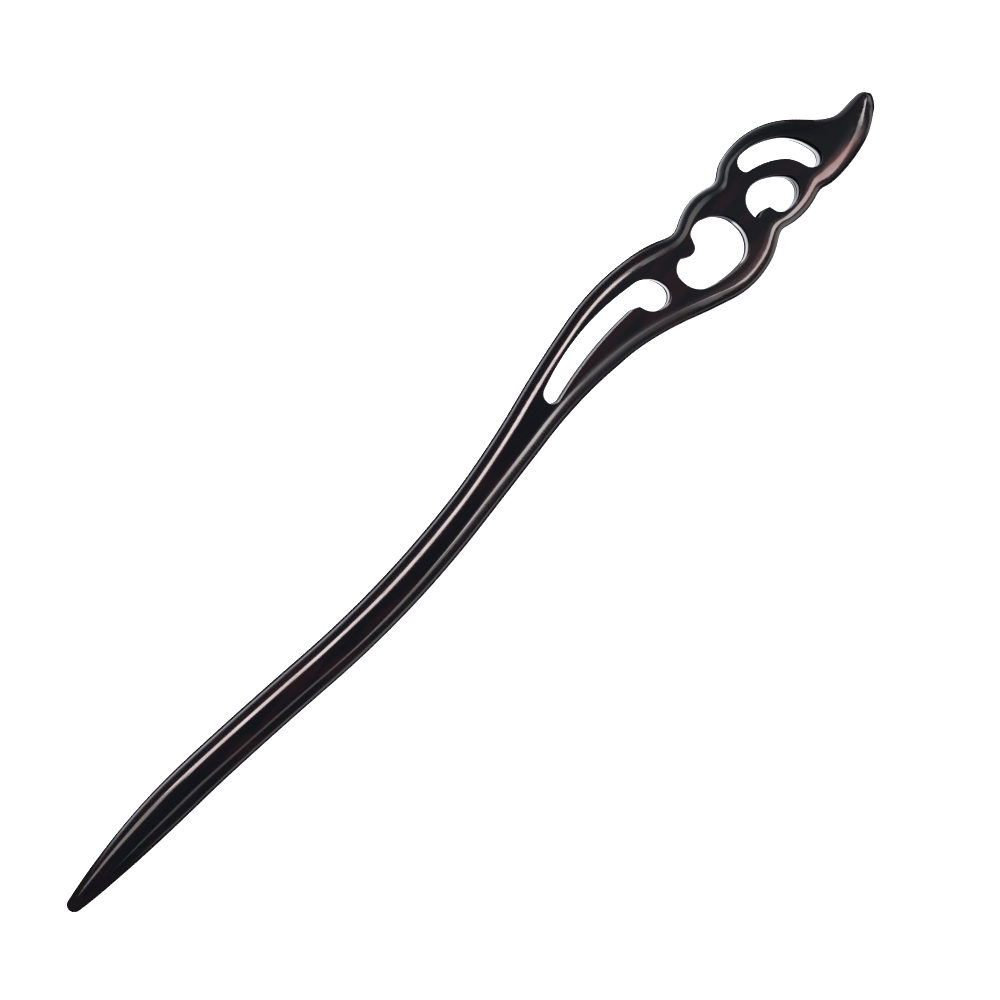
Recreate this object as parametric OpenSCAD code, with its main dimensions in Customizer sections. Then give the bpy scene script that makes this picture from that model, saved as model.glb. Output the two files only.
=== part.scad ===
// Hair stick carved from one piece of dark wood: a slender bowed shaft that narrows to a rounded
// point, and a flat lobed head pierced by four openings, which ends in a swept flame tip.
// It lies on its flat back. X runs from the point to the flame tip, Z is up,
// and the origin is under the middle of its outline.

/* [Overall] */
// Length from the point to the flame tip
stick_len = 180; // [160:1:210]
// Thickness from the flat back to the flat front
thick = 5.5; // [4.6:0.1:7]

/* [Shaft] */
// Width of the plain shaft
shaft_w = 6.5; // [5.6:0.1:8]
// Height of the bow in the shaft's middle line
bow = 1.65; // [0:0.05:3]
// Length over which the shaft narrows to its point
point_len = 26; // [15:1:40]
// Radius of the rounded point
point_r = 1.2; // [0.8:0.1:1.8]

/* [Head] */
// Length of the head, from the neck to the flame tip
head_len = 90; // [75:1:110]
// Width of the head over its widest lobes
head_w = 17.8; // [15:0.1:24]
// Height left at the very end of the flame tip
tip_h = 1.2; // [0.6:0.1:2]

/* [Edges] */
// Width of the worked edge, from the outline to the ridge beside the flat front
edge_w = 1.9; // [1.7:0.1:2.1]
// Width of the sloping bevel, the inner part of the worked edge
bevel_w = 1.4; // [0.9:0.1:1.6]
// Drop of the bevel below the flat front
bevel_drop = 1; // [0.6:0.1:1.4]
// Radius of the soft ridge between bevel and flat front
ridge_r = 1.1; // [0.4:0.1:1.4]

/* [Hidden] */

// Points on each arc of the openings, and number of rings along each stretch
arc_steps = 7;
point_rings = 5;
shaft_rings = 34;
head_rings = 84;
// The rings stand closer together towards the flame tip
tip_crowding = 1.3;
// How fast the width and the thickness fill out behind the point
width_fill = 1.8;
thick_fill = 2.4;
// Largest share of the width that the two worked edges may take together with their ridges
edge_share = 0.98;
// Overshoot of the openings' cutters past the two faces
over = 1;

shaft_len = stick_len - head_len;
half_thick = thick / 2;

// Middle line of the shaft: [share of shaft length, offset as share of bow, swell as share of bow].
// Each stretch runs from the row before, with its swell as the height of a parabola over it.
start_middle = [0, 0.27];
middle_rows = [
    [0.344, 0.375, 0.22],
    [0.622, -0.70, 0.06],
    [1.000, -0.285, -0.50]
];

// Edges of the head: [share of head length, offset as share of head width, swell as share of it]
upper_rows = [
    [0.167, 0.312, -0.010],
    [0.333, 0.492, 0.009],
    [0.522, 0.486, 0.051],
    [0.571, 0.393, 0.009],
    [0.599, 0.385, -0.021],
    [0.691, 0.427, 0.060],
    [0.703, 0.421, -0.008],
    [0.736, 0.523, 0.017],
    [0.822, 0.492, 0.035],
    [0.871, 0.332, 0.017],
    [0.891, 0.225, 0.000],
    [0.931, 0.070, -0.021],
    [0.958, 0.063, -0.004],
    [0.982, 0.063, 0.003],
    [1.000, -0.015, 0.026]
];
lower_rows = [
    [0.167, -0.110, 0.000],
    [0.378, -0.104, 0.036],
    [0.522, -0.309, 0.026],
    [0.567, -0.390, -0.002],
    [0.660, -0.437, -0.037],
    [0.707, -0.340, -0.015],
    [0.723, -0.285, 0.000],
    [0.821, -0.283, -0.053],
    [0.849, -0.327, -0.007],
    [0.927, -0.289, -0.015],
    [0.980, -0.157, -0.019],
    [1.000, -0.045, -0.022]
];

// Width of the worked edge, as shares of edge_w: [share of length, upper side, lower side]
shaft_edge_rows = [
    [0.0, 0.50, 0.60],
    [0.1, 0.60, 0.78],
    [0.2, 0.73, 1.10],
    [0.3, 0.82, 1.20],
    [0.4, 0.85, 1.10],
    [0.6, 0.87, 1.04],
    [0.7, 0.84, 0.97],
    [0.8, 0.96, 0.99],
    [1.0, 0.95, 1.07]
];
head_edge_rows = [
    [0.00, 0.95, 1.07],
    [0.33, 0.92, 1.05],
    [0.54, 1.00, 1.08],
    [0.59, 0.63, 0.93],
    [0.65, 0.82, 0.88],
    [0.70, 0.58, 0.84],
    [0.73, 0.62, 0.62],
    [0.77, 0.78, 0.80],
    [0.80, 0.88, 0.84],
    [0.82, 1.05, 0.80],
    [0.85, 1.32, 1.08],
    [0.87, 1.20, 1.03],
    [0.90, 0.62, 1.10],
    [0.92, 0.40, 1.18],
    [0.96, 0.28, 1.32],
    [1.00, 0.25, 1.35]
];

// Thickness towards the flame tip: [share of head length, share of the way from tip_h to thick]
tip_rows = [
    [0.00, 1.00],
    [0.94, 1.00],
    [0.97, 0.93],
    [0.985, 0.75],
    [0.995, 0.42],
    [1.00, 0.00]
];

// Outlines of the openings, clockwise seen from the front:
// [share of head length, share of head width, bulge of the arc that ends there].
// A bulge is the arc's height over half its chord, above 0 where the opening swells outward.
slot_rows = [
    [0.227, 0.098, 0.28],
    [0.237, 0.228, 0.47],
    [0.469, 0.317, 0.135],
    [0.510, 0.124, 0.38],
    [0.490, -0.024, 0.45],
    [0.459, 0.062, 0.27],
    [0.454, 0.140, 0.05],
    [0.439, 0.171, -0.05],
    [0.247, 0.084, -0.07]
];
kidney_rows = [
    [0.537, 0.034, 0.29],
    [0.559, 0.167, 0.40],
    [0.569, 0.146, 0.15],
    [0.596, 0.166, -0.50],
    [0.602, 0.253, 0.00],
    [0.639, 0.267, 0.31],
    [0.674, 0.022, 0.34],
    [0.642, -0.236, 0.36],
    [0.558, -0.171, 0.13]
];
heart_rows = [
    [0.703, -0.011, 0.30],
    [0.736, 0.175, 0.43],
    [0.790, 0.028, 0.20],
    [0.793, -0.138, 0.37],
    [0.760, -0.205, 0.28],
    [0.737, -0.140, 0.25],
    [0.734, -0.067, 0.05],
    [0.713, -0.053, -0.20],
    [0.707, -0.065, 0.00]
];
crescent_rows = [
    [0.747, 0.287, -0.16],
    [0.761, 0.428, 0.68],
    [0.831, 0.292, 0.16],
    [0.861, 0.011, 0.18],
    [0.846, -0.121, 0.43],
    [0.827, -0.034, 0.32],
    [0.813, 0.121, -0.11]
];

// Offset within one stretch of an edge, at share s of the length
function stretch(a, b, s) =
    let (t = (s - a[0]) / (b[0] - a[0]))
    a[1] + (b[1] - a[1]) * t + 4 * b[2] * t * (1 - t);

// Offset along a whole edge, from the point start through all its rows
function along(start, rows, s, i = 0) =
    i == len(rows) - 1 || s <= rows[i][0]
    ? stretch(i == 0 ? start : rows[i - 1], rows[i], s)
    : along(start, rows, s, i + 1);

function column(rows, c) = [for (row = rows) [row[0], row[c]]];

// Width and thickness of the shaft, filling out from the rounded point
function fill(x, power) = 1 - pow(1 - min(1, max(0, x - point_r) / (point_len - point_r)), power);
function round_point(x) = x >= point_r ? 1 : sqrt(1 - pow(1 - x / point_r, 2));
function shaft_width(x) = round_point(x) * (2 * point_r + (shaft_w - 2 * point_r) * fill(x, width_fill));
function shaft_thick(x) = round_point(x) * (2 * point_r + (thick - 2 * point_r) * fill(x, thick_fill));

// The two edges at distance x from the point; side is 1 for the upper edge and -1 for the lower
function middle(x) = bow * along(start_middle, middle_rows, x / shaft_len);
neck_middle = middle(shaft_len);
function neck(side) = [0, (neck_middle + side * shaft_w / 2) / head_w];
function head_share(x) = (x - shaft_len) / head_len;
function edge(x, side) =
    x <= shaft_len
    ? middle(x) + side * shaft_width(x) / 2
    : head_w * along(neck(side), side > 0 ? upper_rows : lower_rows, head_share(x));

// Thickness at distance x from the point
function thick_at(x) =
    x <= shaft_len
    ? shaft_thick(x)
    : tip_h + (thick - tip_h) * lookup(head_share(x), tip_rows);

// Half the distance over which the slant of an edge is measured
slant_step = 0.3;

// Widths of the two worked edges measured across the stick: wider where the outline runs
// at a slant, and both narrowed alike where the stick leaves too little room
function slant(x, side) =
    let (x0 = max(point_r, x - slant_step), x1 = min(stick_len - point_r, x + slant_step))
    x1 <= x0 ? 0 : (edge(x1, side) - edge(x0, side)) / (x1 - x0);
function wanted_width(x, side) =
    let (
        c = side > 0 ? 1 : 2,
        share = x <= shaft_len
            ? lookup(x / shaft_len, column(shaft_edge_rows, c))
            : lookup(head_share(x), column(head_edge_rows, c))
    )
    edge_w * share * sqrt(1 + pow(slant(x, side), 2));
function edge_widths(x) =
    let (
        up = wanted_width(x, 1),
        low = wanted_width(x, -1),
        room = edge_share * (edge(x, 1) - edge(x, -1)) / profile[last][0]
    )
    min(1, room / (up + low)) * [up, low];

// Profile of the worked edge: [inset as share of edge_w, height as share of half the thickness].
// A round side rises from the outline, the bevel follows at its slope, and an arc rounds the ridge.
bevel_angle = atan2(bevel_drop, bevel_w);
round_end = 60;
round_steps = 3;
ridge_steps = 2;
round_w = (edge_w - bevel_w) / (1 - cos(round_end));
round_h = (half_thick - bevel_drop) / sin(round_end);
ridge_cut = ridge_r * tan(bevel_angle / 2);
profile = concat(
    [for (i = [0:round_steps])
        let (a = round_end * i / round_steps)
        [round_w * (1 - cos(a)) / edge_w, round_h * sin(a) / half_thick]],
    [for (i = [ridge_steps:-1:0])
        let (a = bevel_angle * i / ridge_steps)
        [(edge_w + ridge_cut - ridge_r * sin(a)) / edge_w,
         (half_thick - ridge_r * (1 - cos(a))) / half_thick]]
);
last = len(profile) - 1;

// One ring round the stick at distance x from the point
function ring(x) =
    let (
        up = edge(x, 1),
        low = edge(x, -1),
        widths = edge_widths(x),
        up_w = widths[0],
        low_w = widths[1],
        h = thick_at(x) / 2
    )
    concat(
        [for (i = [0:last]) [x, up - up_w * profile[i][0], half_thick + h * profile[i][1]]],
        [for (i = [last:-1:0]) [x, low + low_w * profile[i][0], half_thick + h * profile[i][1]]],
        [for (i = [1:last]) [x, low + low_w * profile[i][0], half_thick - h * profile[i][1]]],
        [for (i = [last:-1:1]) [x, up - up_w * profile[i][0], half_thick - h * profile[i][1]]]
    );

// Places of the rings: closer round the point, where they step by angle from the first one,
// and towards the flame tip
first_angle = 8;
point_places = [for (i = [0:point_rings - 1])
    point_r * (1 - cos(first_angle + (90 - first_angle) * i / point_rings))];
shaft_places = [for (i = [0:shaft_rings - 1])
    point_r + (shaft_len - point_r) * i / shaft_rings];
head_places = [for (i = [0:head_rings])
    shaft_len + head_len * (1 - pow(1 - i / head_rings, tip_crowding))];
places = concat(point_places, shaft_places, head_places);

// Middle of the outline across the stick, which the origin lies under
upper_reach = max([for (x = places) edge(x, 1)]);
lower_reach = min([for (x = places) edge(x, -1)]);
across = (upper_reach + lower_reach) / 2;

// Points of the arc from a to b, without a itself
function arc(a, b, bulge) =
    let (
        chord = b - a,
        half = 2 * atan(bulge),
        heading = atan2(chord[1], chord[0])
    )
    bulge == 0
    ? [b]
    : [for (i = [1:arc_steps])
        let (t = i / arc_steps, turn = heading + (1 - t) * half)
        a + norm(chord) * sin(t * half) / sin(half) * [cos(turn), sin(turn)]];

function outline(rows) =
    let (corners = [for (row = rows) [shaft_len + head_len * row[0], head_w * row[1]]])
    [for (i = [0:len(rows) - 1])
        each arc(corners[(i + len(rows) - 1) % len(rows)], corners[i], rows[i][2])];

// Skin of the unpierced stick, ring by ring
module body() {
    rings = [for (x = places) ring(x)];
    n = len(rings[0]);
    sides = [for (k = [0:len(places) - 2], i = [0:n - 1])
        [k * n + i, k * n + (i + 1) % n, (k + 1) * n + (i + 1) % n, (k + 1) * n + i]];
    halves = [for (q = sides) each [[q[0], q[1], q[2]], [q[0], q[2], q[3]]]];
    caps = [
        [for (i = [n - 1:-1:0]) i],
        [for (i = [0:n - 1]) (len(places) - 1) * n + i]
    ];
    polyhedron(points = [for (r = rings) each r], faces = concat(halves, caps));
}

module opening(rows) {
    translate([0, 0, -over])
        linear_extrude(height = thick + 2 * over)
            polygon(outline(rows));
}

module stick() {
    color([0.13, 0.09, 0.10])
        translate([-stick_len / 2, -across, 0])
            difference() {
                body();
                opening(slot_rows);
                opening(kidney_rows);
                opening(heart_rows);
                opening(crescent_rows);
            }
}

stick();
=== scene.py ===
import math

import bmesh
import bpy
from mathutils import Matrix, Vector


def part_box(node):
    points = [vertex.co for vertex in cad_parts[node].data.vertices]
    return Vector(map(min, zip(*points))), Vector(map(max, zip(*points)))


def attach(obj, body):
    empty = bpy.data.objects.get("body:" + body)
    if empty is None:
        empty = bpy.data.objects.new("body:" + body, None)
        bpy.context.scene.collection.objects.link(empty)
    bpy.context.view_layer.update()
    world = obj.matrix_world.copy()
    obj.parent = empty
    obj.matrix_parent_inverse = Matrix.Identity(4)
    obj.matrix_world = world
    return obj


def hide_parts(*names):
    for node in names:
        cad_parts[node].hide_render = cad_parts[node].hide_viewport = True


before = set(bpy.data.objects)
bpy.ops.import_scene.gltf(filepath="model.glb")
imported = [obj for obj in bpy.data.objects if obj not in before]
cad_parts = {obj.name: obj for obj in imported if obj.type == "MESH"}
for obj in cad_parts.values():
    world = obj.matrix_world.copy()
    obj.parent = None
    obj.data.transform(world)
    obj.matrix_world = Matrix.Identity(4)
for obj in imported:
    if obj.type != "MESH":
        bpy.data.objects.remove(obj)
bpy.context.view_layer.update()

MM = 0.001


# ---------- the carved stick's sizes, in mm, and shares ----------

# How far apart two places may lie and still count as one
SAME_PLACE = 0.001
# How much a face's normal may rise where the face is an opening's upright wall, and not a ridge
UPRIGHT = 0.3
# Keeps the way into the flat at a sharp corner from growing to more than twice its length
MITRE_LIMIT = 0.5
# A normal that leans less than this from upright counts as facing neither side in full
LEAST_LEAN = 0.001
# Up to which angle between them two triangles are joined, and how far from square that may be, in degrees
JOINED_FACES = 60
JOINED_SHAPES = 180
# How many times the faces are halved each way to make them fine
FINE_LEVELS = 2

# The openings' front rims: the radius of the rounding, its steps, and the band laid beside it in the flat
RIM_ROUND = 0.14
RIM_STEPS = 2
RIM_BAND = 0.03
# How far the openings' walls are eased away into the back, and how high up that begins
BACK_WIDTH = [(38, 0.14), (50, 0.3), (64, 0.42)]
BACK_LIFT = [(38, 0.14), (50, 0.4), (58, 0.6), (63, 1.2), (80, 1.4)]

# How far each of the front's ridges turns over into the flat: place along the stick and reach
UPPER_REACH = [(-60, 0.25), (15, 0.25), (19, 0.14), (36, 0.14), (40, 0.25), (56, 0.25), (64, 0.25),
               (67, 0.08), (76.5, 0.04), (79, 0.3), (88, 0.2)]
LOWER_REACH = [(-24, 0.25), (-10, 0.14), (14, 0.14), (18, 0.08), (26, 0.08), (30, 0.25)]
# The shares of that reach in which the flat's first two rings are laid, and the share of the ridge's
# lowering that the first ring keeps
REACH_SHARES = (0.55, 0.45)
KEPT_LOW = 0.25
# How much the upper ridge is lowered for its turn, as a share of its reach
TURN_DROP = 0.12

# Where the lower ridge is rubbed soft, along the small lobes and the flame's outer bow: how much further
# it reaches into the flat, how much lower it lies and how far it spreads outwards
SOFT_REACH = [(28, 0.0), (33, 0.3), (41, 0.25), (46, 0.12), (50, 0.2), (54, 0.4), (60, 0.55),
              (64, 0.45), (67.5, 0.0), (70.5, 0.0), (73, 0.55), (76, 0.35), (78, 0.75), (82, 0.75),
              (84, 0.65), (86, 0.5), (88, 0.15)]
SOFT_DROP = [(24, 0.0), (30, 0.05), (41, 0.05), (46, 0.03), (50, 0.06), (54, 0.1), (60, 0.11),
             (66, 0.03), (71, 0.03), (75, 0.07), (85, 0.08), (87, 0.03), (88, 0.0)]
SOFT_SPREAD = [(24, 0.0), (30, 0.15), (42, 0.15), (48, 0.0), (62, 0.0), (66, 0.2), (71, 0.2), (77, 0.3),
               (80, 0.1), (82, -0.1), (83.5, -0.2), (84.6, -0.1), (85.1, 0.0)]

# The same for the upper ridge along the large lobes: how much lower it lies and how far it spreads
UPPER_DROP = [(44, 0.0), (50, 0.07), (62, 0.07), (66, 0.02), (70, 0.0)]
UPPER_SPREAD = [(44, 0.0), (50, 0.15), (64, 0.15), (67, 0.1), (70, 0.0)]

# How much further the upper ridge turns in over the front near the point
POINT_IN = [(-85, 0.0), (-81, 0.12), (-76, 0.33), (-70, 0.5), (-66, 0.35), (-61, 0.1), (-56, 0.0)]
# The front is level from here to the flame, and nearer the point each ring has a height of its own
LEVEL_FROM = -46

# A ridge's three rows of corners, from the flat outwards. Each lies less than this depth below the flat,
# takes these shares of the ridge's spread outwards, its move inwards and its turn, and is lowered by these
# shares of the spread and of the move
RIDGE_ROWS = [
    {"depth": 0.01, "outward": 0.0, "inward": 1.0, "turn": 1.0, "spread_drop": 0.0, "move_drop": 0.0},
    {"depth": 0.1, "outward": 0.7, "inward": 0.6, "turn": 1.6, "spread_drop": 0.45, "move_drop": 0.06},
    {"depth": 0.3, "outward": 1.0, "inward": 0.3, "turn": 0.0, "spread_drop": 0.45, "move_drop": 0.0},
]

# How far the shaft's lower side stands further out at the middle of its height, and how far up and down
# from there that reaches
SIDE_OUT = [(-90, 0.0), (-88.5, 0.2), (-86, 0.3), (-76, 0.3), (-68, 0.2), (-50, 0.14), (0, 0.15),
            (20, 0.22), (32, 0.18), (36, 0.0)]
SIDE_HALF = 1.8
# How far the flame tip's lower ridge stands further out, where that begins, and each row's share of it
TIP_OUT = [(85.1, 0.0), (85.8, 0.25), (86.5, 0.55), (87.1, 0.75), (87.7, 0.9), (88.3, 0.65),
           (88.8, 0.5), (89.3, 0.25), (89.7, 0.0)]
TIP_FROM = 85.3
TIP_SHARES = (1.0, 0.72, 0.42)

# How much of its gloss the stick has lost along each side: place along the stick and share
RUBBED_UPPER = [(44, 0.0), (52, 1.0)]
RUBBED_LOWER = [(18, 0.0), (27, 0.85), (44, 0.85), (50, 0.0), (72, 0.0), (80, 0.25), (82.5, 0.75),
                (84.5, 0.75), (86.5, 0.0)]

# Painted shade on the sides: how far up and down from the middle of the stick's thickness each side is
# painted dark as shade, and the height over which that painted shade fades. The mark for it grows to no
# more than these values, of which the first changes near the flame
SIDE_SHADE_UPPER = [(45, 1.58), (49, 1.76), (51.5, 1.76), (54, 1.0), (66, 1.0), (70, 1.5), (77, 1.6),
              (80, 2.8)]
SIDE_SHADE_LOWER = [(44, 1.65), (50, 1.75), (66, 1.75), (75, 1.95), (83, 1.95), (86, 1.4)]
SIDE_SHADE_FADE = 0.28
SIDE_SHADE_MOST_UPPER = [(77, 12.0), (80, 0.7)]
SIDE_SHADE_MOST_LOWER = 12.0

# How deep below the flats an opening's wall begins, and how deep where it faces the point by more than
# this share
WALL_DEPTH = 0.1
END_WALL_DEPTH = 0.01
END_WALL_FACING = 0.3


# ---------- the carved stick ----------

def select_only(obj):
    bpy.ops.object.select_all(action="DESELECT")
    obj.select_set(True)
    bpy.context.view_layer.objects.active = obj


def along(rows, x):
    """The second value of the rows at the place x, which runs evenly between them."""
    if x <= rows[0][0]:
        return rows[0][1]
    for (x0, y0), (x1, y1) in zip(rows, rows[1:]):
        if x <= x1:
            return y0 + (y1 - y0) * (x - x0) / (x1 - x0)
    return rows[-1][1]


def faced(rows, x, facing):
    """The rows' value at the place x, in metres, in the share that a corner faces this way."""
    return max(0, facing) * along(rows, x) * MM


def upper_turn(x, facing):
    """How much the upper ridge is lowered at the place x to make its turn rounder, in metres."""
    return TURN_DROP * faced(UPPER_REACH, x, facing)


def in_the_flats(face, top):
    """Whether a face is part of the flat front or of the flat back."""
    return any(all(abs(corner.co.z - level) < SAME_PLACE * MM for corner in face.verts)
               for level in (0, top))


def open_corners(bm):
    """Each corner on the open edges, with its way into the flat and whether it is on an opening's wall."""
    sides = {}
    for edge in bm.edges:
        if edge.is_boundary:
            normal = edge.link_faces[0].normal
            way = -normal.xy.normalized()
            for corner in edge.verts:
                sides.setdefault(corner, []).append((way, abs(normal.z) < UPRIGHT))
    corners = {}
    for corner, ((one, wall), (other, _)) in sides.items():
        corners[corner] = ((one + other) / max(MITRE_LIMIT, 1 + one.dot(other)), wall)
    return corners


def at_a_wall(ways, corner):
    """Whether a corner is on the open edge of an opening's wall."""
    return corner in ways and ways[corner][1]


def open_stick(top):
    """A merged copy of the CAD stick in quads, without its flats, left in edit mode."""
    stick = bpy.data.objects.new("carved_stick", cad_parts["stick"].data.copy())
    bpy.context.scene.collection.objects.link(stick)
    select_only(stick)
    bpy.ops.object.mode_set(mode="EDIT")
    bpy.ops.mesh.select_all(action="SELECT")
    bpy.ops.mesh.remove_doubles(threshold=SAME_PLACE * MM)
    bpy.ops.mesh.select_all(action="DESELECT")
    bpy.ops.mesh.select_mode(type="FACE")
    bm = bmesh.from_edit_mesh(stick.data)
    for face in bm.faces:
        face.select_set(in_the_flats(face, top))
    bpy.ops.mesh.delete(type="FACE")
    bpy.ops.mesh.select_all(action="SELECT")
    bpy.ops.mesh.tris_convert_to_quads(
        face_threshold=math.radians(JOINED_FACES), shape_threshold=math.radians(JOINED_SHAPES))
    bpy.ops.mesh.select_mode(type="EDGE")
    return stick


def soften_ridges(bm, ways, top):
    """Rounds the front's ridges over: lowers their rows, spreads the outer rows outwards along the lobes,
    and moves the upper ridge's rows in over the front near the point."""
    bm.normal_update()
    ring_tops = {}
    for corner in bm.verts:
        ring = round(corner.co.x / MM, 2)
        ring_tops[ring] = max(ring_tops.get(ring, 0), corner.co.z)
    moves = []
    for corner in bm.verts:
        x = corner.co.x / MM
        ring = round(x, 2)
        depth = (ring_tops[ring] if ring < LEVEL_FROM else top) - corner.co.z
        row = next((row for row in RIDGE_ROWS if depth < row["depth"] * MM), None)
        if row is None or at_a_wall(ways, corner):
            continue
        out = corner.normal.xy.normalized()
        spread = faced(SOFT_SPREAD, x, -out.y) + faced(UPPER_SPREAD, x, out.y)
        inward = faced(POINT_IN, ring, out.y)
        drop = faced(SOFT_DROP, x, -out.y) + faced(UPPER_DROP, x, out.y)
        drop += row["spread_drop"] * spread + row["move_drop"] * inward
        drop += row["turn"] * upper_turn(x, out.y)
        moves.append((corner, out * (row["outward"] * spread - row["inward"] * inward), drop))
    for corner, shift, drop in moves:
        corner.co.x += shift.x
        corner.co.y += shift.y
        corner.co.z -= drop


def set_sides_out(bm, ways, top):
    """Moves the shaft's lower side out, most at the middle of its height, and the flame tip's lower ridge
    too."""
    bm.normal_update()
    moves = []
    tip_rings = {}
    for corner in bm.verts:
        x = corner.co.x / MM
        out = corner.normal.xy.normalized()
        if out.y >= 0 or at_a_wall(ways, corner):
            continue
        if x < SIDE_OUT[-1][0]:
            bulge = max(0, 1 - ((corner.co.z - top / 2) / (SIDE_HALF * MM)) ** 2)
            moves.append((corner, out * along(SIDE_OUT, x) * MM * bulge * -out.y))
        elif x > TIP_FROM and corner.co.z > top / 2:
            tip_rings.setdefault(round(x, 2), []).append(corner)
    for x, corners in tip_rings.items():
        for corner, share in zip(sorted(corners, key=lambda corner: -corner.co.z), TIP_SHARES):
            moves.append((corner, Vector((0, -share * along(TIP_OUT, x) * MM))))
    for corner, shift in moves:
        corner.co.x += shift.x
        corner.co.y += shift.y


def lay_ring(bm, ways, walls, shift, rise):
    """Extrudes the open edges at the openings' walls, or else those at the ridges, and sets each new corner
    off into the flat and up from its old place by what the two functions give."""
    bpy.ops.mesh.select_all(action="DESELECT")
    for edge in bm.edges:
        if edge.is_boundary and ways[edge.verts[0]][1] == walls:
            edge.select_set(True)
    bpy.ops.mesh.extrude_edges_move()
    for corner in [v for v in bm.verts if v.select]:
        source = next(e.other_vert(corner) for e in corner.link_edges if not e.is_boundary)
        way = ways[source][0]
        reach = shift(corner, way)
        corner.co.z += rise(corner, way)
        corner.co.x += way.x * reach
        corner.co.y += way.y * reach
        ways[corner] = (way, walls)


def lay_rims(bm, ways, top):
    """Rounds the openings' rims over, in front and into the back, and lays the flats' first rings beside
    them and beside the ridges."""
    def in_front(corner):
        return corner.co.z > top / 2

    def rim_width(corner):
        return (RIM_ROUND if in_front(corner) else along(BACK_WIDTH, corner.co.x / MM)) * MM

    def rim_lift(corner):
        return (RIM_ROUND if in_front(corner) else -along(BACK_LIFT, corner.co.x / MM)) * MM

    def to_the_flat(corner, way):
        return (top if in_front(corner) else 0) - corner.co.z

    def nearly_to_the_flat(corner, way):
        x = corner.co.x / MM
        lowered = faced(SOFT_DROP, x, way.y) + upper_turn(x, -way.y)
        return to_the_flat(corner, way) - (KEPT_LOW * lowered if in_front(corner) else 0)

    def into_the_flat(share):
        def shift(corner, way):
            if not in_front(corner):
                return RIM_BAND * MM
            x = corner.co.x / MM
            # 0 at the upper ridge and 1 at the lower one, from which the way into the flat runs up
            lower = min(1, max(0, 0.5 + way.y))
            reach = (1 - lower) * along(UPPER_REACH, x) + lower * along(LOWER_REACH, x)
            return share * MM * (reach + max(0, way.y) * along(SOFT_REACH, x))
        return shift

    for corner in ways:
        if at_a_wall(ways, corner):
            corner.co.z -= rim_lift(corner)
    turns = [math.radians(90 * step / RIM_STEPS) for step in range(RIM_STEPS + 1)]
    for low, high in zip(turns, turns[1:]):
        inward = math.cos(low) - math.cos(high)
        upward = math.sin(high) - math.sin(low)
        lay_ring(bm, ways, True, lambda corner, way: inward * rim_width(corner),
                 lambda corner, way: upward * rim_lift(corner))
    lay_ring(bm, ways, True, lambda corner, way: RIM_BAND * MM, to_the_flat)
    lay_ring(bm, ways, False, into_the_flat(REACH_SHARES[0]), nearly_to_the_flat)
    lay_ring(bm, ways, False, into_the_flat(REACH_SHARES[1]), to_the_flat)


def mark_corners(bm, ways, top, marks):
    """Gives each corner the three marks that the finish reads: how much painted shade darkens its outer
    side, how much gloss is rubbed off, but none at the very middle of a side, and whether it is on an
    opening's wall."""
    bm.normal_update()
    for corner in bm.verts:
        x = corner.co.x / MM
        depth = min(corner.co.z, top - corner.co.z)
        from_middle = (top / 2 - depth) / MM
        facing = corner.normal.y / max(corner.normal.xy.length, LEAST_LEAN)
        upper = 0.5 + 0.5 * facing
        dark = upper * along(SIDE_SHADE_UPPER, x) + (1 - upper) * along(SIDE_SHADE_LOWER, x)
        most = along(SIDE_SHADE_MOST_UPPER, x) if facing > 0 else SIDE_SHADE_MOST_LOWER
        corner[marks["painted_side_shade"]] = min(most, (dark - from_middle) / SIDE_SHADE_FADE)
        rubbed = along(RUBBED_UPPER if facing > 0 else RUBBED_LOWER, x)
        corner[marks["rubbed"]] = rubbed * float(from_middle > 0)
        way, wall = ways.get(corner, (None, False))
        wall_depth = END_WALL_DEPTH if wall and way.x > END_WALL_FACING else WALL_DEPTH
        corner[marks["cut_wall"]] = float(wall and depth > wall_depth * MM)


def fill_flats(bm, top):
    """Fills the flat front and the flat back between their last rings, whose edges stay sharp."""
    for front in (True, False):
        bpy.ops.mesh.select_all(action="DESELECT")
        for edge in bm.edges:
            if edge.is_boundary and (edge.verts[0].co.z > top / 2) == front:
                edge.select_set(True)
        bpy.ops.transform.edge_crease(value=1)
        bpy.ops.mesh.fill(use_beauty=True)


def carve_stick():
    """The CAD stick's copy with its flats laid anew, its rims rounded over and its faces made fine."""
    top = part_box("stick")[1].z
    stick = open_stick(top)
    bm = bmesh.from_edit_mesh(stick.data)
    marks = {name: bm.verts.layers.float.new(name) for name in ("painted_side_shade", "cut_wall", "rubbed")}
    ways = open_corners(bm)
    soften_ridges(bm, ways, top)
    set_sides_out(bm, ways, top)
    lay_rims(bm, ways, top)
    mark_corners(bm, ways, top, marks)
    fill_flats(bm, top)
    bpy.ops.mesh.select_all(action="SELECT")
    bpy.ops.mesh.normals_make_consistent(inside=False)
    bpy.ops.object.mode_set(mode="OBJECT")
    fine = stick.modifiers.new("fine_faces", "SUBSURF")
    fine.levels = fine.render_levels = FINE_LEVELS
    bpy.ops.object.modifier_apply(modifier=fine.name)
    bpy.ops.object.shade_smooth()
    return stick


# ---------- finishes ----------

class Socket:
    """One output of a material's node, with the sums and products that the finish is written in."""

    def __init__(self, paint, out):
        self.paint = paint
        self.out = out

    def _math(self, operation, *values):
        return self.paint.node("ShaderNodeMath", {"operation": operation}, values)

    def __add__(self, other):
        return self._math("ADD", self, other)

    def __sub__(self, other):
        return self._math("SUBTRACT", self, other)

    def __rsub__(self, other):
        return self._math("SUBTRACT", other, self)

    def __mul__(self, other):
        return self._math("MULTIPLY", self, other)

    __radd__ = __add__
    __rmul__ = __mul__


# The sockets of a Mix node that mixes colours: its factor, its two colours and its result
MIX_FACTOR, MIX_ONE, MIX_OTHER, MIX_RESULT = 0, 6, 7, 2


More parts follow.
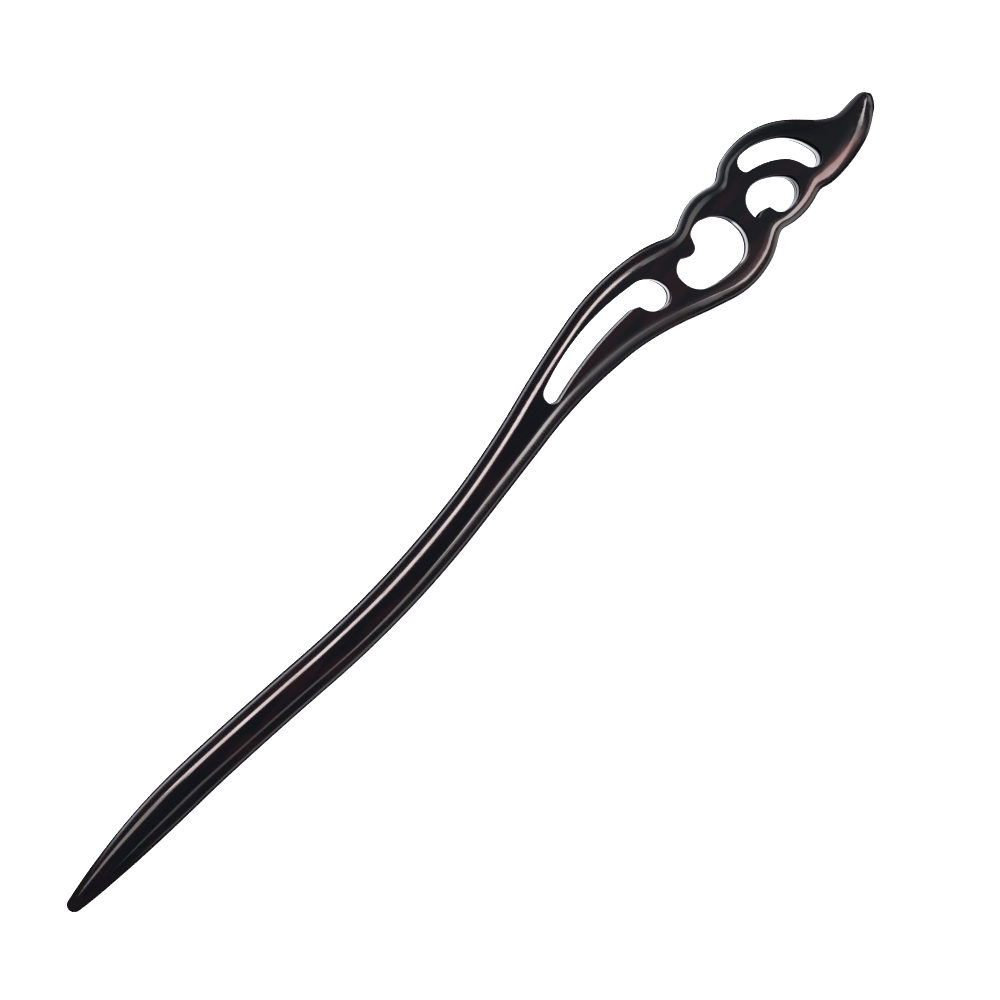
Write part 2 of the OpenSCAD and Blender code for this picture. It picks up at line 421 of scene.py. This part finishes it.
class Paint:
    """A material, whose nodes are all added by one method."""

    def __init__(self, name):
        self.material = bpy.data.materials.new(name)
        self.material.use_nodes = True
        self.tree = self.material.node_tree
        self.tree.nodes.clear()
        self.place = self.node("ShaderNodeTexCoord", output="Object")

    def node(self, kind, settings=None, inputs=(), output=0):
        """Adds a node of this kind: its settings first, then the values and links of its sockets."""
        made = self.tree.nodes.new(kind)
        for name, value in (settings or {}).items():
            setattr(made, name, value)
        pairs = inputs.items() if isinstance(inputs, dict) else enumerate(inputs)
        for key, value in pairs:
            if isinstance(value, Socket):
                self.tree.links.new(value.out, made.inputs[key])
            else:
                made.inputs[key].default_value = value
        return Socket(self, made.outputs[output]) if made.outputs else None

    def measure(self, axis):
        """The place on the piece along the axis of this name, in metres."""
        return self.node("ShaderNodeSeparateXYZ", {}, (self.place,), output=axis)

    def between(self, value, low, high):
        """0 up to the low value, 1 from the high one on, and an eased rise between them."""
        return self.node("ShaderNodeMapRange", {"interpolation_type": "SMOOTHSTEP"}, {
            "Value": value, "From Min": low, "From Max": high})

    def noise(self, scale, detail, roughness):
        """Noise with this many of its largest forms to the metre along X, Y and Z."""
        drawn = self.node("ShaderNodeMapping", {}, {"Vector": self.place, "Scale": scale})
        return self.node("ShaderNodeTexNoise", {}, {
            "Vector": drawn, "Scale": 1.0, "Detail": detail, "Roughness": roughness})

    def spot(self, x, y, long, wide):
        """A soft patch round a place, in mm: 1 in its middle and 0 outside its length and width."""
        moved = self.node("ShaderNodeMapping", {}, {
            "Vector": self.place, "Location": (-2 * x / long, -2 * y / wide, 0),
            "Scale": (2 / (long * MM), 2 / (wide * MM), 0)})
        return self.node(
            "ShaderNodeTexGradient", {"gradient_type": "SPHERICAL"}, {"Vector": moved}, output="Fac")

    def mark(self, name):
        """One of the marks that the stick's corners carry."""
        return self.node("ShaderNodeAttribute", {"attribute_name": name}, output="Fac")

    def colours(self, share, one, other):
        """A colour that goes from the one to the other as the share goes from 0 to 1."""
        return self.node("ShaderNodeMix", {"data_type": "RGBA"}, {
            MIX_FACTOR: share, MIX_ONE: one, MIX_OTHER: other}, output=MIX_RESULT)

    def surface(self, values):
        return self.node("ShaderNodeBsdfPrincipled", {}, values)

    def surfaces(self, share, one, other):
        """A surface that goes from the one to the other as the share goes from 0 to 1."""
        return self.node("ShaderNodeMixShader", {}, (share, one, other))

    def finished(self, surface):
        self.node("ShaderNodeOutputMaterial", {}, {"Surface": surface})
        return self.material


def opening_shine_and_shade(paint):
    """How much the openings' walls shine: a band between a dark line of painted shade over the back and a
    dark band of painted shade along the front's rim, broken by file marks, and darkened in the heart, at
    its chipped knob, at the kidney's two ends and in the slot."""
    length, height = paint.measure("X"), paint.measure("Z")
    # Painted shade: the walls are dark over the back below a line that lies higher where less than about 61
    # mm along, and in a band along the front's rim that reaches lower round the crescent
    dark_line = (1 - paint.between(length, 60.5 * MM, 62.5 * MM)) * (0.6 * MM)
    lower_rim = paint.between(paint.spot(75, 2.5, 22, 12), 0.0, 0.4) * (0.9 * MM)
    above_line = paint.between(height - dark_line, 1.5 * MM, 2.0 * MM)
    near_rim = paint.between(height + lower_rim, 3.9 * MM, 4.7 * MM)
    file_marks = paint.between(paint.noise((150, 150, 1600), 2.0, 0.5), 0.3, 0.5)
    # The heart's wall, its chipped knob, the kidney's two ends and the slot's walls are made darker
    darkened_heart = paint.between(paint.spot(68.5, -2.4, 10, 8), 0.0, 0.5) * 0.45
    chipped_knob = paint.between(paint.spot(64.2, -2.1, 3.2, 2.4), 0.1, 0.3)
    kidney_upper_end = paint.between(paint.spot(60.2, 2.2, 5, 5), 0.0, 0.4) * 0.85
    kidney_lower_end = paint.between(paint.spot(54.5, -5.6, 6.4, 4), 0.0, 0.3) * 0.85
    past_slot = paint.between(length, 42.8 * MM, 44.0 * MM) * 0.9 + 0.1
    shine = above_line * (1 - near_rim) * file_marks
    shine = shine * (1 - darkened_heart) * (1 - chipped_knob)
    return shine * (1 - (kidney_upper_end + kidney_lower_end)) * past_slot


def wood_finish():
    """Near-black wood with dim red-brown streaks, fibres and pores, softly polished."""
    paint = Paint("blackwood")

    def grain(across, along_stick, detail, roughness):
        """Noise drawn out along the stick."""
        return paint.noise((along_stick, across, across), detail, roughness)

    streaks = grain(600, 90, 3.0, 0.5)
    patches = grain(130, 70, 2.0, 0.5)
    fibres = grain(7000, 500, 3.0, 0.6)
    pores = paint.between(grain(5200, 420, 1.0, 0.4), 0.66, 0.74)
    redness = paint.between(streaks * 0.5 + patches * 0.5, 0.47, 0.62)
    dark_wood = paint.colours(fibres, (0.0012, 0.0017, 0.0026, 1), (0.0022, 0.0028, 0.0040, 1))
    wood_colour = paint.colours(redness * 0.9, dark_wood, (0.0056, 0.0030, 0.0040, 1))
    relief = paint.node("ShaderNodeBump", {}, {
        "Strength": 0.15, "Distance": 0.02 * MM, "Height": fibres * 0.5 - pores})

    polished = paint.surface({
        "Base Color": wood_colour, "Roughness": fibres * 0.1 + 0.18, "IOR": 1.5,
        "Specular IOR Level": 0.12, "Specular Tint": (1.0, 0.5, 0.48, 1),
        "Coat Weight": 0.95 - redness * 0.2 - pores * 0.4, "Coat Roughness": 0.1, "Normal": relief})
    rubbed = paint.surface({
        "Base Color": wood_colour, "Roughness": fibres * 0.06 + 0.27, "IOR": 1.5,
        "Specular IOR Level": 0.1, "Normal": relief})
    warm = paint.surface({
        "Base Color": (0.0075, 0.0032, 0.0034, 1), "Roughness": fibres * 0.1 + 0.27, "IOR": 1.5,
        "Specular IOR Level": 0.5, "Specular Tint": (1.0, 0.45, 0.42, 1),
        "Coat Weight": 0.2 - pores * 0.15, "Coat Roughness": 0.16, "Normal": relief})
    # A dark surface without gloss: painted shade on the sides and the walls, and the walls' file marks
    dull_and_shade = paint.surface({
        "Base Color": (0.004, 0.0035, 0.004, 1), "Roughness": 0.6, "Specular IOR Level": 0.0})
    wall = paint.surface({
        "Base Color": (0.01, 0.008, 0.01, 1), "Roughness": 0.2, "IOR": 1.5, "Specular IOR Level": 0.7,
        "Specular Tint": (0.97, 0.94, 1.0, 1)})

    flame_patch = paint.between(paint.spot(78.4, -5.7, 22, 5.6), 0.0, 0.5) * 0.8
    lobe_patch = paint.spot(60, -6, 26, 5) * 0.35
    painted_side_shade = paint.mark("painted_side_shade")
    warmth = (flame_patch + lobe_patch) * (1 - paint.between(painted_side_shade, -2.2, -0.9) * 0.85)

    body = paint.surfaces(warmth, paint.surfaces(paint.mark("rubbed"), polished, rubbed), warm)
    # Painted shade: about the middle of their height the sides go over to the dark surface without gloss
    body = paint.surfaces(paint.between(painted_side_shade, 0.0, 1.0), body, dull_and_shade)
    # The openings' walls shine where they mirror the table, and elsewhere take the dark surface as painted
    # shade
    cut = paint.surfaces(opening_shine_and_shade(paint), dull_and_shade, wall)
    return paint.finished(paint.surfaces(paint.mark("cut_wall"), body, cut))


def table_finish():
    """A white table that glows evenly, and more in a band along the stick's upper side, which the openings'
    walls mirror."""
    paint = Paint("white_table")
    across = paint.measure("Y")
    band = paint.between(across, -12 * MM, 20 * MM) * (1 - paint.between(across, 10 * MM, 30 * MM))
    return paint.finished(paint.surface({
        "Base Color": (0.1, 0.1, 0.1, 1), "Roughness": 1.0, "Specular IOR Level": 0.0,
        "Emission Color": paint.colours(band, (1.0, 0.99, 1.02, 1), (5.4, 5.6, 6.2, 1)),
        "Emission Strength": 1.0}))


# ---------- studio ----------

# The camera's place in mm, its turn in degrees, and its lens and sensor in mm
CAMERA_PLACE = (9.08, 20.80, 282.05)
CAMERA_TURN = (-4.270, -2.916, -45.706)
CAMERA_LENS = 64.13
CAMERA_SENSOR = 36

# The table's side and the height of the backdrop round it, in metres
TABLE_SIZE = 7
BACKDROP_HEIGHT = 0.16

# Each soft box's compass side in degrees from +X to +Y, its tilt from overhead in degrees, its distance,
# width and depth in metres, its radiance and its colour
SOFT_BOXES = {
    "left_soft_box": (94, 39, 1.0, 0.56, 0.62, 13, (1.0, 0.94, 0.94)),
    "left_wide_box": (104, 39, 1.02, 1.2, 0.65, 4, (1.0, 1.0, 1.0)),
    "right_soft_box": (-59, 50, 1.0, 0.86, 0.62, 8, (1.0, 1.0, 1.0)),
    "right_wide_box": (-66, 50, 1.02, 1.2, 0.6, 2.5, (1.0, 1.0, 1.0)),
    "right_far_box": (-112, 46, 1.03, 0.36, 0.5, 1.2, (1.0, 1.0, 1.0)),
    "right_upper_box": (-56, 25, 1.0, 0.5, 0.3, 0.4, (1.0, 0.86, 0.92)),
    "tip_box": (-24, 61.5, 1.0, 0.36, 0.4, 11, (0.95, 0.9, 1.0)),
    "head_fill": (-15, 16, 1.0, 0.5, 0.35, 0.13, (0.8, 0.93, 1.0)),
}

# The room's own faint light
ROOM_COLOUR = (0.9, 0.95, 1.0, 1.0)
ROOM_STRENGTH = 0.02


def set_camera():
    """The camera, almost straight over the stick, as the photo shows it."""
    bpy.ops.object.camera_add(
        location=[MM * place for place in CAMERA_PLACE],
        rotation=[math.radians(turn) for turn in CAMERA_TURN])
    camera = bpy.context.object
    camera.name = "camera"
    camera.data.sensor_width = CAMERA_SENSOR
    camera.data.lens = CAMERA_LENS
    camera.data.clip_start = 10 * MM
    bpy.context.scene.camera = camera


def set_table():
    """A white table, with a low backdrop round it so that it fills the picture from every side."""
    bpy.ops.mesh.primitive_plane_add(size=TABLE_SIZE, location=(0, 0, 0))
    table = bpy.context.object
    table.name = "table"
    bpy.ops.object.mode_set(mode="EDIT")
    bpy.ops.mesh.select_mode(type="EDGE")
    bpy.ops.mesh.select_all(action="SELECT")
    bpy.ops.mesh.extrude_edges_move(TRANSFORM_OT_translate={"value": (0, 0, BACKDROP_HEIGHT)})
    bpy.ops.object.mode_set(mode="OBJECT")
    table.data.materials.append(table_finish())


def set_soft_box(name, toward, tilt, distance, width, depth, radiance, colour):
    """A soft box that points at the middle of the stick."""
    side, down = math.radians(toward), math.radians(tilt)
    out = distance * math.sin(down)
    bpy.ops.object.light_add(
        type="AREA",
        location=(out * math.cos(side), out * math.sin(side), distance * math.cos(down)),
        rotation=(0, down, side))
    lamp = bpy.context.object
    lamp.name = name
    lamp.data.shape = "RECTANGLE"
    lamp.data.size = depth
    lamp.data.size_y = width
    lamp.data.energy = radiance * math.pi * width * depth
    lamp.data.color = colour


def set_lights():
    for name, box in SOFT_BOXES.items():
        set_soft_box(name, *box)
    world = bpy.data.worlds.new("studio")
    world.use_nodes = True
    background = world.node_tree.nodes["Background"]
    background.inputs["Color"].default_value = ROOM_COLOUR
    background.inputs["Strength"].default_value = ROOM_STRENGTH
    bpy.context.scene.world = world
    bpy.context.scene.view_settings.view_transform = "Standard"


# ---------- the making ----------

set_camera()
set_table()
set_lights()

stick = carve_stick()
stick.data.materials.clear()
stick.data.materials.append(wood_finish())
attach(stick, "root")
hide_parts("stick")
